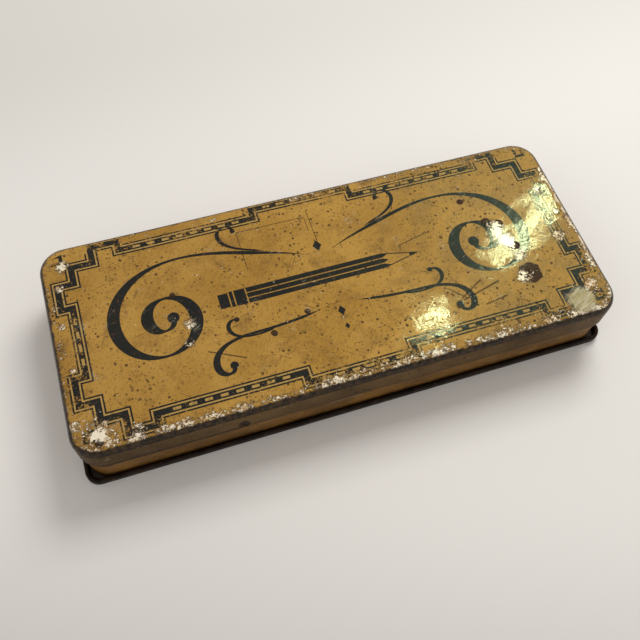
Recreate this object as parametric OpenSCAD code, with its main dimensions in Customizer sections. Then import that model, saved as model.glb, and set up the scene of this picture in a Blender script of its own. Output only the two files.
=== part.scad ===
// Flat hinged tin box for pencils.
// Frame: +X along the length, -Y towards the user, +Z up, the table is z = 0.
// The box is centred on X = 0 and Y = 0, with its lid shut.

/* [Lid] */
// Length of the lid, end to end
lid_l = 203; // [185:1:230]
// Width of the lid, front to back
lid_w = 84; // [72:1:100]
// Height of the closed box above the table
box_h = 26.7; // [25:0.1:32]
// Corner radius of the lid's outline
lid_corner_r = 9.75; // [8:0.25:13]
// Radius of the lid's rolled top edge
edge_r = 2.4; // [1.2:0.1:3]
// Depth of the lid's skirt, from its top face to its lower edge
skirt_h = 11.8; // [11:0.1:12.6]

/* [Body] */
// Thickness of the tinplate
sheet_t = 0.3; // [0.24:0.02:0.32]
// How far the body wall stands inside the lid's outline
wall_inset = 1.0; // [1:0.05:1.2]
// Distance from the lid's top face down to the wall's top edge
wall_drop = 2.7; // [2.6:0.1:5]
// Depth of the hem folded inwards along the wall's top edge
hem_h = 2.8; // [1.5:0.1:4]
// Place of the lapped side seam along the back wall
lap_x = 30; // [-35:1:35]
// Width of the side seam's lap
lap_w = 4.5; // [3:0.5:8]
// Distance from the middle to each catch pip on the front wall
pip_x = 32; // [15:1:60]

/* [Bottom seam] */
// Height of the rolled seam round the bottom
seam_h = 3.3; // [2.8:0.1:3.8]
// How far the seam stands outside the lid's outline
seam_out = 0.6; // [0.6:0.05:0.8]
// Outer corner radius of the seam, sharper than the wall's own corner
seam_corner_r = 5; // [4:0.25:7]

/* [Hinges] */
// Distance from the middle to each hinge
hinge_x = 58; // [48:1:75]
// Width of a hinge leaf
leaf_w = 16; // [12:0.5:20]
// Height of a hinge leaf's plate
leaf_h = 7.6; // [6:0.1:7.8]
// Diameter of the hinge pin's wire
pin_d = 0.8; // [0.7:0.02:0.84]
// Distance between the two rivets of a leaf
rivet_gap = 9; // [6:0.5:10]

/* [Hidden] */
$fn = 96;

GOLD = [0.62, 0.45, 0.20];
WALL_GOLD = [0.50, 0.36, 0.16];
DARK_TIN = [0.16, 0.11, 0.07];
STEEL = [0.45, 0.43, 0.40];
WIRE = [0.55, 0.54, 0.52];

// Lid
lip_z = box_h - skirt_h;                 // lower edge of the skirt

// Body wall
wall_l = lid_l - 2 * wall_inset;
wall_w = lid_w - 2 * wall_inset;
wall_corner_r = lid_corner_r - wall_inset;
wall_top = box_h - wall_drop;
wall_back = wall_w / 2;                  // outer face of the back wall
wall_front = -wall_w / 2;                // outer face of the front wall
hem_t = 2 * sheet_t + 0.02;              // two layers with a hair between them
fold_gap = 0.05;                         // play between the folds of the seam
hook_out = 0.6;                          // from the wall's face to its turned-up hook
hook_h = 2.2;
groove_w = 0.14;                         // open line of the side seam
groove_d = 0.8 * sheet_t;
pip_r = 1.5;
pip_h = 0.42;
pip_drop = 4.5;                          // from the wall's top edge to a pip's middle

// Bottom
base_l = lid_l + 2 * seam_out;
base_w = lid_w + 2 * seam_out;
seam_w = wall_inset + seam_out - fold_gap;
roll_r = seam_w / 2;
slot_top = 1.0;                          // top of the seam's inward slot for the wall's foot

// Hinges. The knuckles stay inside the seam's outline.
knuckle_t = sheet_t;
body_bore_r = pin_d / 2 + 0.01;
lid_bore_r = pin_d / 2 + 0.03;
knuckle_r = lid_bore_r + knuckle_t;
axis_y = base_w / 2 - knuckle_r;
axis_z = lip_z - 0.9;
knuckle_gap = 0.15;
mid_knuckle_w = 0.46 * leaf_w;           // the lid's knuckle, between the body's two
side_knuckle_w = (leaf_w - mid_knuckle_w) / 2 - knuckle_gap;
leaf_corner_r = 1.4;
lid_leaf_z = axis_z + 1.0;               // lower edge of the lid leaf's plate
body_leaf_z = axis_z - 1.0;              // upper edge of the body leaf's plate
lid_rivet_z = lid_leaf_z + 0.58 * leaf_h;
body_rivet_z = body_leaf_z - 0.55 * leaf_h;
rivet_r = 0.6;
rivet_play = 0.02;
rivet_head_r = 1.2;
rivet_head_h = 0.28;
rivet_tail_r = 0.95;
rivet_tail_h = 0.2;
pin_head_r = 0.62;
pin_head_h = 0.35;

// ---------- shared shapes ----------

// Rectangle with round corners, centred
module round_rect(l, w, r) {
    square([l - 2 * r, w], center = true);
    square([l, w - 2 * r], center = true);
    for (x = [-1, 1], y = [-1, 1])
        translate([x * (l / 2 - r), y * (w / 2 - r)]) circle(r);
}

// Carries a profile along the four straight sides of a rounded rectangle.
// The profile's x runs outwards from the corner's centre, and its y runs up.
module along_sides(l, w, r) {
    for (turn = [0, 180]) {
        rotate([0, 0, turn]) translate([l / 2 - r, 0, 0]) rotate([90, 0, 0])
            linear_extrude(w - 2 * r, center = true) children();
        rotate([0, 0, turn + 90]) translate([w / 2 - r, 0, 0]) rotate([90, 0, 0])
            linear_extrude(l - 2 * r, center = true) children();
    }
}

// Carries the same profile round the four corners
module round_corners(l, w, r) {
    for (x = [-1, 1], y = [-1, 1]) {
        start = x > 0 ? (y > 0 ? 0 : 270) : (y > 0 ? 90 : 180);
        translate([x * (l / 2 - r), y * (w / 2 - r), 0])
            rotate([0, 0, start]) rotate_extrude(angle = 90) children();
    }
}

// Box corner seen end on: flat top, straight side, round between them
module shoulder(reach, low, high, r) {
    translate([0, low]) square([reach, high - r - low]);
    translate([0, low]) square([reach - r, high - low]);
    translate([reach - r, high - r]) circle(r);
}

// Upright slot shape with round ends
module upright_slot(w, h) {
    translate([0, w / 2]) circle(w / 2);
    translate([0, h - w / 2]) circle(w / 2);
    translate([-w / 2, w / 2]) square([w, h - w]);
}

// Round bar or hole along X, centred
module along_x(r, length) {
    rotate([0, 90, 0]) cylinder(r = r, h = length, center = true);
}

// Round bar or hole along Y, from its start outwards
module along_y(r, length) {
    rotate([-90, 0, 0]) cylinder(r = r, h = length);
}

// ---------- box ----------

module lid_profile() {
    difference() {
        shoulder(lid_corner_r, lip_z, box_h, edge_r);
        shoulder(lid_corner_r - sheet_t, lip_z - 1, box_h - sheet_t, edge_r - sheet_t);
    }
}

// Drawn lid: flat panel, rolled edge and skirt in one sheet
module lid_shell() {
    color(GOLD) difference() {
        union() {
            along_sides(lid_l, lid_w, lid_corner_r) lid_profile();
            round_corners(lid_l, lid_w, lid_corner_r) lid_profile();
            translate([0, 0, box_h - sheet_t]) linear_extrude(sheet_t)
                square([lid_l - 2 * lid_corner_r, lid_w - 2 * lid_corner_r], center = true);
        }
        for (side = [-1, 1], end = [-1, 1])
            translate([side * hinge_x + end * rivet_gap / 2, lid_w / 2 - 1, lid_rivet_z])
                along_y(rivet_r + rivet_play, 2);
    }
}

// Wall with the hem folded inwards along its top edge
module wall_profile(foot_z) {
    translate([wall_corner_r - sheet_t, foot_z]) square([sheet_t, wall_top - hem_t / 2 - foot_z]);
    translate([wall_corner_r - hem_t, wall_top - hem_h]) square([hem_t, hem_h - hem_t / 2]);
    translate([wall_corner_r - hem_t / 2, wall_top - hem_t / 2]) circle(hem_t / 2);
}

// Foot of the wall: turned outwards and hooked up inside the bottom seam
module hook_profile(foot_z) {
    translate([wall_corner_r - sheet_t, foot_z]) square([hook_out + 2 * sheet_t, sheet_t]);
    translate([wall_corner_r + hook_out, foot_z]) square([sheet_t, hook_h]);
}

// Low round pip pressed out of the front wall, which the lid's skirt rides over
module catch_pip() {
    ball_r = (pip_r * pip_r + pip_h * pip_h) / (2 * pip_h);
    intersection() {
        translate([0, ball_r - pip_h, 0]) sphere(ball_r);
        translate([-pip_r, -pip_h, -pip_r]) cube([2 * pip_r, pip_h + sheet_t / 2, 2 * pip_r]);
    }
}

// Lap of the strip's two ends, inside the back wall
module side_lap(foot_z) {
    lap_top = wall_top - hem_h;
    translate([lap_x - lap_w / 2, wall_back - 2 * sheet_t, foot_z])
        cube([lap_w, 1.5 * sheet_t, lap_top - foot_z]);
}

// Body wall: one strip bent round, lapped at the back, hemmed at the top
module body_wall() {
    foot_z = sheet_t + fold_gap;
    color(WALL_GOLD) difference() {
        union() {
            along_sides(wall_l, wall_w, wall_corner_r) {
                union() {
                    wall_profile(foot_z);
                    hook_profile(foot_z);
                }
            }
            round_corners(wall_l, wall_w, wall_corner_r) wall_profile(foot_z);
            side_lap(foot_z);
            for (side = [-1, 1])
                translate([side * pip_x, wall_front, wall_top - pip_drop]) catch_pip();
        }
        translate([lap_x + lap_w / 4, wall_back - groove_d, seam_h + 0.4])
            cube([groove_w, 1, box_h]);
        for (side = [-1, 1], end = [-1, 1])
            translate([side * hinge_x + end * rivet_gap / 2, wall_back - 1, body_rivet_z])
                along_y(rivet_r + rivet_play, 2);
    }
}

// Seam end on: flat sheet from the left, rolled up, over and down inside
module seam_profile() {
    middle = seam_corner_r - roll_r;
    difference() {
        translate([middle, 0]) upright_slot(2 * roll_r, seam_h);
        translate([middle, sheet_t]) upright_slot(2 * (roll_r - sheet_t), seam_h - 2 * sheet_t);
        translate([middle - roll_r - 1, -1]) square([roll_r + 1, slot_top + 1]);
    }
    square([middle, sheet_t]);
}

// Flat bottom whose border is rolled up over the wall's hook
module bottom_plate() {
    color(DARK_TIN) {
        along_sides(base_l, base_w, seam_corner_r) seam_profile();
        round_corners(base_l, base_w, seam_corner_r) seam_profile();
        linear_extrude(sheet_t)
            square([base_l - 2 * seam_corner_r, base_w - 2 * seam_corner_r], center = true);
    }
}

// ---------- hinges ----------

// Leaf plate standing in the XZ plane, square at the foot and round at the top corners
module leaf_plate() {
    translate([0, sheet_t, 0]) rotate([90, 0, 0]) linear_extrude(sheet_t) {
        translate([-leaf_w / 2, 0]) square([leaf_w, leaf_h - leaf_corner_r]);
        translate([-leaf_w / 2 + leaf_corner_r, 0]) square([leaf_w - 2 * leaf_corner_r, leaf_h]);
        for (end = [-1, 1])
            translate([end * (leaf_w / 2 - leaf_corner_r), leaf_h - leaf_corner_r])
                circle(leaf_corner_r);
    }
}

// Leaf on the outside of the lid's skirt, with the middle knuckle
module lid_hinge_leaf(side) {
    tongue_low = axis_z + 0.5;
    color(STEEL) translate([side * hinge_x, 0, 0]) difference() {
        union() {
            translate([0, lid_w / 2, lid_leaf_z]) leaf_plate();
            translate([-mid_knuckle_w / 2, lid_w / 2, tongue_low])
                cube([mid_knuckle_w, sheet_t, lid_leaf_z + 1 - tongue_low]);
            translate([0, axis_y, axis_z]) along_x(knuckle_r, mid_knuckle_w);
        }
        translate([0, axis_y, axis_z]) along_x(lid_bore_r, leaf_w);
        for (end = [-1, 1])
            translate([end * rivet_gap / 2, lid_w / 2 - 1, lid_rivet_z])
                along_y(rivet_r + rivet_play, 3);
    }
}

// Leaf on the outside of the body wall, with the two outer knuckles
module body_hinge_leaf(side) {
    color(STEEL) translate([side * hinge_x, 0, 0]) difference() {
        union() {
            translate([0, wall_back, body_leaf_z]) mirror([0, 0, 1]) leaf_plate();
            for (end = [-1, 1]) {
                middle = end * (leaf_w - side_knuckle_w) / 2;
                translate([middle - side_knuckle_w / 2, wall_back, body_leaf_z - 1])
                    cube([side_knuckle_w, sheet_t, axis_z - body_leaf_z + 1]);
                translate([middle, axis_y, axis_z]) along_x(knuckle_r, side_knuckle_w);
            }
        }
        translate([0, axis_y, axis_z]) along_x(body_bore_r, leaf_w + 1);
        for (end = [-1, 1])
            translate([end * rivet_gap / 2, wall_back - 1, body_rivet_z])
                along_y(rivet_r + rivet_play, 3);
    }
}

// Wire pin with its head at the outer end
module hinge_pin(side) {
    tail = 0.3;
    color(WIRE) translate([side * hinge_x, axis_y, axis_z]) {
        translate([-side * tail / 2, 0, 0]) along_x(pin_d / 2, leaf_w + tail);
        translate([side * (leaf_w + pin_head_h) / 2, 0, 0]) along_x(pin_head_r, pin_head_h);
    }
}

// Rivet along Y: domed head outside, shank through grip, flat tail inside
module rivet(grip) {
    ball_r = (rivet_head_r * rivet_head_r + rivet_head_h * rivet_head_h) / (2 * rivet_head_h);
    translate([0, -grip - rivet_tail_h, 0]) along_y(rivet_tail_r, rivet_tail_h);
    translate([0, -grip - rivet_tail_h / 2, 0]) along_y(rivet_r, grip + rivet_tail_h);
    intersection() {
        translate([0, rivet_head_h - ball_r, 0]) sphere(ball_r);
        along_y(rivet_head_r + 0.1, rivet_head_h + 0.1);
    }
}

module rivet_row(y, z) {
    color(STEEL) for (side = [-1, 1], end = [-1, 1])
        translate([side * hinge_x + end * rivet_gap / 2, y, z]) rivet(2 * sheet_t);
}

lid_shell();
body_wall();
bottom_plate();
lid_hinge_leaf(-1);  // lid_hinge_leaf_left
lid_hinge_leaf(1);  // lid_hinge_leaf_right
body_hinge_leaf(-1);  // body_hinge_leaf_left
body_hinge_leaf(1);  // body_hinge_leaf_right
hinge_pin(-1);  // hinge_pin_left
hinge_pin(1);  // hinge_pin_right
rivet_row(lid_w / 2 + sheet_t, lid_rivet_z);  // lid_hinge_rivets
rivet_row(wall_back + sheet_t, body_rivet_z);  // body_hinge_rivets
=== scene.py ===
import math

import bmesh
import bpy
from mathutils import Matrix, Vector, noise


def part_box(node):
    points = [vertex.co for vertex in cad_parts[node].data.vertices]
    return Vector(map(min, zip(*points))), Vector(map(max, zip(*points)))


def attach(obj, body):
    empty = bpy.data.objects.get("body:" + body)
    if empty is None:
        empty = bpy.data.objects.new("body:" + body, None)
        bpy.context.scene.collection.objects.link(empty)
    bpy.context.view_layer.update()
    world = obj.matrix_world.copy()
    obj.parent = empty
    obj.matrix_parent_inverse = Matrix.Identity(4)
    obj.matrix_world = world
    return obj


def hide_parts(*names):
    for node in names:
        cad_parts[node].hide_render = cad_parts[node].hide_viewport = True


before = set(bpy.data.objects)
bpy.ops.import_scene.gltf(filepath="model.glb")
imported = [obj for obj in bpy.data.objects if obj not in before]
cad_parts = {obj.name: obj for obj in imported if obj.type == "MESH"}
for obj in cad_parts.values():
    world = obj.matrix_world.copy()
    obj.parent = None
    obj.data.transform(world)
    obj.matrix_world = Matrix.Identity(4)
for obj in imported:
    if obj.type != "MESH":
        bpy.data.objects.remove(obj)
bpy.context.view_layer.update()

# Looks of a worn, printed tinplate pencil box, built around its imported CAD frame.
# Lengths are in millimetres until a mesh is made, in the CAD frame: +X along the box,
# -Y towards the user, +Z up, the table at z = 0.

MM = 0.001


# ---------- measures ----------

def box_mm(node):
    low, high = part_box(node)
    return low / MM, high / MM


lid_low, lid_high = box_mm("lid_shell")
base_low, base_high = box_mm("bottom_plate")

SHEET = 0.3  # thickness of the tinplate
LID_L = lid_high.x - lid_low.x
LID_W = lid_high.y - lid_low.y
TOP = lid_high.z  # the lid's top face
LIP = lid_low.z  # lower edge of the lid's skirt
LID_CORNER = 9.75
EDGE_R = 2.4  # rolled top edge
WALL_INSET = 1.0  # the wall stands inside the lid's outline
WALL_L = LID_L - 2 * WALL_INSET
WALL_W = LID_W - 2 * WALL_INSET
WALL_CORNER = LID_CORNER - WALL_INSET
LID = (LID_L, LID_W, LID_CORNER)
WALL = (WALL_L, WALL_W, WALL_CORNER)
WALL_TOP = box_mm("body_wall")[1].z
HEM_H = 2.8  # depth of the hem folded inside the wall
BASE_L = base_high.x - base_low.x
BASE_W = base_high.y - base_low.y
SEAM_H = base_high.z
SEAM_CORNER = 5.0
BASE = (BASE_L, BASE_W, SEAM_CORNER)
CORNER_STEPS = 14  # faces round each corner of a swept sheet
SHARP_EDGE = math.radians(38)  # edges that turn more than this are shaded sharp
SEAM_ROLL = 0.775  # half the seam's width
SIDE_LAP_X = 30.0  # side seam in the back wall
LAP_W = 4.5
PIP_X = 32.0  # catch pips on the front wall
PIP_Z = WALL_TOP - 4.5
PIP_R = 1.5
PIP_H = 0.42
DENT_X = -44.6  # small round dent in the lid's front skirt
DENT_Z = 17.3
DENT_R = 2.4
DENT_DEEP = 0.30
CROWN = 0.10  # rise of the lid's panel at its middle

# Handling waves of the sheets: height, distance over which they change, seed
PANEL_SLOW = (0.16, 38, 3.1)
PANEL_QUICK = (0.05, 13, 7.7)
SKIRT_SLOW = (0.10, 30, 5.3)
SKIRT_QUICK = (0.03, 9, 1.9)
SKIRT_DROOP = (0.08, 22, 9.4)
WALL_SLOW = (0.07, 26, 12.5)
WALL_QUICK = (0.03, 8, 4.4)
SEAM_SLOW = (0.10, 7, 6.6)
SEAM_QUICK = (0.06, 3, 2.2)
SEAM_RISE = (0.10, 9, 8.1)


# ---------- shape of the tin ----------

def wave(x, y, z, kind):
    """Smooth random rise and fall of one of the kinds of handling wave."""
    height, reach, seed = kind
    return height * noise.noise(Vector((x / reach + seed, y / reach - seed, z / reach + 2 * seed)))


def top_wave(x, y):
    """How far the lid's panel stands off flat: a slight crown, dents and handling waves."""
    crown = CROWN * (1 - (2 * x / LID_L) ** 2) * (1 - (2 * y / LID_W) ** 2)
    return crown + wave(x, y, 0, PANEL_SLOW) + wave(x, y, 0, PANEL_QUICK) - CROWN


def corner_inset(x, y, length, width, radius):
    """Distance inwards from a rounded rectangle's outline."""
    qx = abs(x) - (length / 2 - radius)
    qy = abs(y) - (width / 2 - radius)
    outside = math.hypot(max(qx, 0), max(qy, 0))
    return radius - outside - min(max(qx, qy), 0)


def lid_surface(x, y):
    """Height of the lid's outer face over a point of its plan."""
    inset = corner_inset(x, y, *LID)
    drop = 0.0
    if inset < EDGE_R:
        drop = EDGE_R - math.sqrt(max(EDGE_R ** 2 - (EDGE_R - max(inset, 0)) ** 2, 0))
    return TOP - drop + top_wave(x, y)


def spaced(start, end, step):
    count = max(1, round(abs(end - start) / step))
    return [start + (end - start) * i / count for i in range(count + 1)]


def outline(length, width, radius, step, arc_steps):
    """Stations anticlockwise round a rounded rectangle: corner-circle centre and outward normal."""
    a = length / 2 - radius
    b = width / 2 - radius
    sides = [
        ([(a, y) for y in spaced(-b, b, step)], 0),
        ([(x, b) for x in spaced(a, -a, step)], 90),
        ([(-a, y) for y in spaced(b, -b, step)], 180),
        ([(x, -b) for x in spaced(-a, a, step)], 270),
    ]
    stations = []
    for centres, angle in sides:
        turn = math.radians(angle)
        stations += [(x, y, math.cos(turn), math.sin(turn)) for x, y in centres]
        x, y = centres[-1]
        for i in range(1, arc_steps):
            turn = math.radians(angle + 90 * i / arc_steps)
            stations.append((x, y, math.cos(turn), math.sin(turn)))
    return stations


def arc(cx, cy, radius, start, end, steps):
    """Points of an arc in a profile, from one angle in degrees to another."""
    turns = [math.radians(start + (end - start) * i / steps) for i in range(steps + 1)]
    return [(cx + radius * math.cos(t), cy + radius * math.sin(t)) for t in turns]


def outward(x, y, length, width, radius):
    """Outward direction at a point, and its distance from the corner circles' rectangle."""
    dx = x - max(min(x, length / 2 - radius), radius - length / 2)
    dy = y - max(min(y, width / 2 - radius), radius - width / 2)
    reach = math.hypot(dx, dy)
    if reach < 1e-6:
        return 0.0, 0.0, 0.0
    return dx / reach, dy / reach, reach


def mesh_object(name, bm, materials):
    """Turns a bmesh in millimetres into a smooth-shaded object in metres."""
    for edge in bm.edges:
        edge.smooth = not (edge.is_manifold and edge.calc_face_angle(0) > SHARP_EDGE)
    for face in bm.faces:
        face.smooth = True
    bmesh.ops.scale(bm, vec=Vector((MM, MM, MM)), verts=bm.verts)
    mesh = bpy.data.meshes.new(name)
    bm.to_mesh(mesh)
    bm.free()
    for material in materials:
        mesh.materials.append(material)
    piece = bpy.data.objects.new(name, mesh)
    bpy.context.scene.collection.objects.link(piece)
    return piece


def swept(size, profile, closed, step=2.0):
    """Sweeps a profile of (reach, height, material index) round a rounded rectangle."""
    stations = outline(*size, step, CORNER_STEPS)
    bm = bmesh.new()
    rings = [[bm.verts.new((x + nx * reach, y + ny * reach, height)) for x, y, nx, ny in stations]
             for reach, height, _ in profile]
    count = len(stations)
    for i in range(len(profile) if closed else len(profile) - 1):
        low, high = rings[i], rings[(i + 1) % len(rings)]
        for j in range(count):
            k = (j + 1) % count
            spread_quad(bm, (low[j], low[k], high[k], high[j]), profile[i][2])
    return bm


def spread_quad(bm, corners, slot):
    """A quad whose corners may coincide in pairs: doubled corners are left out."""
    kept = []
    for vert in corners:
        if all((vert.co - other.co).length > 1e-6 for other in kept):
            kept.append(vert)
    if len(kept) > 2:
        bm.faces.new(kept).material_index = slot


def add_plate(bm, size, height, slot, step=2.0):
    """Flat grid over the rectangle between the corner circles."""
    length, width, radius = size
    xs = spaced(radius - length / 2, length / 2 - radius, step)
    ys = spaced(radius - width / 2, width / 2 - radius, step)
    grid = [[bm.verts.new((x, y, height)) for y in ys] for x in xs]
    for i in range(len(xs) - 1):
        for j in range(len(ys) - 1):
            corners = (grid[i][j], grid[i + 1][j], grid[i + 1][j + 1], grid[i][j + 1])
            bm.faces.new(corners).material_index = slot


def close_up(bm):
    bmesh.ops.remove_doubles(bm, verts=bm.verts, dist=1e-4)
    bmesh.ops.recalc_face_normals(bm, faces=bm.faces)


def rows(points, slot):
    return [(x, y, slot) for x, y in points]


def lid_profile():
    """Lid end on, from the panel's top round the lip and back. 0 top, 1 inside, 2 skirt."""
    inner = LID_CORNER - SHEET
    lip_r = SHEET / 2
    outside = [(reach, TOP) for reach in spaced(0, LID_CORNER - EDGE_R, 1.5)][:-1]
    outside += arc(LID_CORNER - EDGE_R, TOP - EDGE_R, EDGE_R, 90, 20, 7)[:-1]
    skirt = arc(LID_CORNER - EDGE_R, TOP - EDGE_R, EDGE_R, 20, 0, 2)[:-1]
    skirt += [(LID_CORNER, z) for z in spaced(TOP - EDGE_R, LIP + lip_r, 1.0)][:-1]
    skirt += arc(LID_CORNER - lip_r, LIP + lip_r, lip_r, 0, -90, 3)
    inside = arc(LID_CORNER - lip_r, LIP + lip_r, lip_r, -90, -180, 3)[1:]
    inside += [(inner, z) for z in spaced(LIP + lip_r, TOP - EDGE_R, 1.2)][1:-1]
    inside += arc(LID_CORNER - EDGE_R, TOP - EDGE_R, EDGE_R - SHEET, 0, 90, 9)
    inside += [(reach, TOP - SHEET) for reach in spaced(LID_CORNER - EDGE_R, 0, 1.5)][1:]
    return rows(outside, 0) + rows(skirt, 2) + rows(inside, 1)


def bend_lid(bm):
    """Handling waves of the lid, the same on both faces of the sheet."""
    for vert in bm.verts:
        x, y, z = vert.co
        nx, ny, reach = outward(x, y, *LID)
        side = wave(x, y, 0, SKIRT_SLOW) + wave(x, y, z, SKIRT_QUICK)
        side *= min(1.0, max(0.0, (TOP - z) / (TOP - LIP)))
        if ny < -0.99 and reach > LID_CORNER - 2 * SHEET:
            away = math.hypot(x - DENT_X, z - DENT_Z) / DENT_R
            side -= DENT_DEEP * max(0.0, 1 - away * away) ** 2
        hung = min(1.0, max(0.0, (TOP - EDGE_R - z) / (TOP - EDGE_R - LIP)))
        droop = wave(x, y, 0, SKIRT_DROOP) * hung
        vert.co.x += nx * side
        vert.co.y += ny * side
        vert.co.z += top_wave(x, y) * (1 - 0.7 * hung) + droop


def make_lid(materials):
    bm = swept(LID, lid_profile(), closed=False, step=1.0)
    add_plate(bm, LID, TOP, 0, step=1.0)
    add_plate(bm, LID, TOP - SHEET, 1, step=1.0)
    close_up(bm)
    bend_lid(bm)
    return mesh_object("lid_sheet", bm, materials)


def wall_profile():
    """Wall end on: outer face up, round the hem, down the hem's fold, and down inside."""
    foot = SHEET + 0.05
    hem = 2 * SHEET + 0.02
    outer = [(WALL_CORNER, z) for z in spaced(foot, WALL_TOP - hem / 2, 1.2)][:-1]
    outer += arc(WALL_CORNER - hem / 2, WALL_TOP - hem / 2, hem / 2, 0, 180, 8)
    fold = WALL_TOP - HEM_H
    inner = [(WALL_CORNER - hem, z) for z in spaced(WALL_TOP - hem / 2, fold, 1.0)][1:]
    inner += [(WALL_CORNER - SHEET - 0.02, fold + 0.04)]
    inner += [(WALL_CORNER - SHEET, z) for z in spaced(fold - 0.1, foot, 1.6)]
    return rows(outer, 0) + rows(inner, 1)


def bend_wall(bm):
    for vert in bm.verts:
        x, y, z = vert.co
        nx, ny, reach = outward(x, y, *WALL)
        side = wave(x, y, z, WALL_SLOW) + wave(x, y, z, WALL_QUICK)
        side *= min(1.0, max(0.0, (z - SEAM_H) / 6))
        front = y < 0 and abs(ny) > 0.99
        if front and reach > WALL_CORNER - SHEET / 2:
            for pip_x in (-PIP_X, PIP_X):
                away = math.hypot(x - pip_x, z - PIP_Z) / PIP_R
                if away < 1:
                    side += PIP_H * (1 - away * away) ** 1.5
        vert.co.x += nx * side
        vert.co.y += ny * side


def add_lap(bm):
    """Doubled strip of the side seam inside the back wall."""
    y = WALL_W / 2 - SHEET
    top = WALL_TOP - HEM_H - 0.3
    xs = [SIDE_LAP_X - LAP_W / 2 + LAP_W * i / 4 for i in range(5)]
    lift = [0.02, SHEET * 0.9, SHEET, SHEET * 0.9, 0.02]
    zs = spaced(SHEET + 0.1, top, 1.5)
    face = [[bm.verts.new((x, y - d, z)) for z in zs] for x, d in zip(xs, lift)]
    back = [[bm.verts.new((x, y + 0.1, z)) for z in zs] for x in (xs[0], xs[-1])]
    columns = [back[0]] + face + [back[1]]
    for i in range(len(columns)):
        left, right = columns[i], columns[(i + 1) % len(columns)]
        for j in range(len(zs) - 1):
            bm.faces.new((left[j], right[j], right[j + 1], left[j + 1])).material_index = 1
    for end in (0, -1):
        bm.faces.new([column[end] for column in columns]).material_index = 1


def make_wall(materials):
    bm = swept(WALL, wall_profile(), closed=True, step=1.0)
    add_lap(bm)
    close_up(bm)
    bend_wall(bm)
    return mesh_object("wall_strip", bm, materials)


def seam_profile():
    """Bottom end on: panel's underside, round the roll, down inside, and the panel's top."""
    middle = SEAM_CORNER - SEAM_ROLL
    inner_r = SEAM_ROLL - SHEET
    slot_top = 1.0
    high = SEAM_H - SEAM_ROLL
    under = [(reach, 0.0) for reach in spaced(0, middle, 1.2)][:-1]
    roll = arc(middle, SEAM_ROLL, SEAM_ROLL, -90, 0, 6)
    roll += [(SEAM_CORNER, z) for z in spaced(SEAM_ROLL, high, 0.6)][1:-1]
    roll += arc(middle, high, SEAM_ROLL, 0, 180, 10)
    roll += [(middle - SEAM_ROLL, slot_top)]
    back = [(middle - inner_r, slot_top)] + arc(middle, high, inner_r, 180, 0, 8)
    back += arc(middle, SEAM_ROLL, inner_r, 0, -90, 4)
    upper = [(reach, SHEET) for reach in spaced(middle, 0, 1.2)][1:]
    return rows(under, 0) + rows(roll, 0) + rows(back, 0) + rows(upper, 1)


def bend_bottom(bm):
    """The hand-beaten seam: small knocks on its outer face and top."""
    for vert in bm.verts:
        x, y, z = vert.co
        nx, ny, reach = outward(x, y, *BASE)
        if reach < 2.5 or z < 0.35:
            continue
        knock = wave(x, y, z, SEAM_SLOW) + wave(x, y, z, SEAM_QUICK) - 0.06
        share = min(1.0, (z - 0.35) / 1.0)
        vert.co.x += nx * knock * share
        vert.co.y += ny * knock * share
        if z > SEAM_H / 2:
            vert.co.z += wave(x, y, 0, SEAM_RISE) - 0.08


def make_bottom(materials):
    bm = swept(BASE, seam_profile(), closed=False)
    add_plate(bm, BASE, 0.0, 0)
    add_plate(bm, BASE, SHEET, 1)
    close_up(bm)
    bend_bottom(bm)
    return mesh_object("bottom_tray", bm, materials)


# ---------- print on the lid ----------

PRINT_SHIFT = 0.8  # the print sits a little towards the back
BAND = 2.33  # half the border band's width
LINE = 0.62  # thin outer lines of the band
CORE = 1.15  # half of the dark middle
DASH_HALF = 0.5
DASH_LENGTH = 2.7
DASH_PITCH = 5.45
EDGE_CLEAR = 1.3  # no print nearer the outline than this
PRINT_LIFT = 0.012  # height of the ink's face over the lid
PALE_LIFT = 0.010
LIFT_STEP = 0.0015  # between inks that lie over each other
PRINT_DEPTH = 0.03  # thickness of a print's closed skin

# Middle line of the band over one quarter of the lid, from the back's middle to the end's:
# plain steps in whole millimetres, about where the real lid's are, without its corner figure
BORDER_QUARTER = [
    (0, 38), (20, 38), (20, 34), (72, 34), (72, 38), (82, 38), (82, 31), (90, 31),
    (90, 24), (96, 24), (96, 14), (92, 14), (92, 0),
]
TILE_X, TILE_Y = 94.6, 35.6  # middle of the plain square in each corner
TILE_HALF = 1.6
TILE_LINE = 0.65  # half the thickness of the square's line


def border_path():
    back_right = BORDER_QUARTER[1:-1]
    front_right = [(x, -y) for x, y in reversed(back_right)]
    front_left = [(-x, -y) for x, y in back_right]
    back_left = [(-x, y) for x, y in reversed(back_right)]
    return back_right + front_right + front_left + back_left


def offset_corner(path, i, side):
    """Corner i of the path moved sideways with a mitre, for a path with square turns."""
    x, y = path[i]
    px, py = path[i - 1]
    qx, qy = path[(i + 1) % len(path)]
    before = Vector((x - px, y - py)).normalized()
    after = Vector((qx - x, qy - y)).normalized()
    mitre = Vector((-before.y - after.y, before.x + after.x))
    return Vector((x, y)) + mitre * side


def corner_tile(x, y):
    """Middle line of a plain square about a point."""
    near_x, far_x = x - TILE_HALF, x + TILE_HALF
    near_y, far_y = y - TILE_HALF, y + TILE_HALF
    return [(far_x, far_y), (near_x, far_y), (near_x, near_y), (far_x, near_y)]


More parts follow.
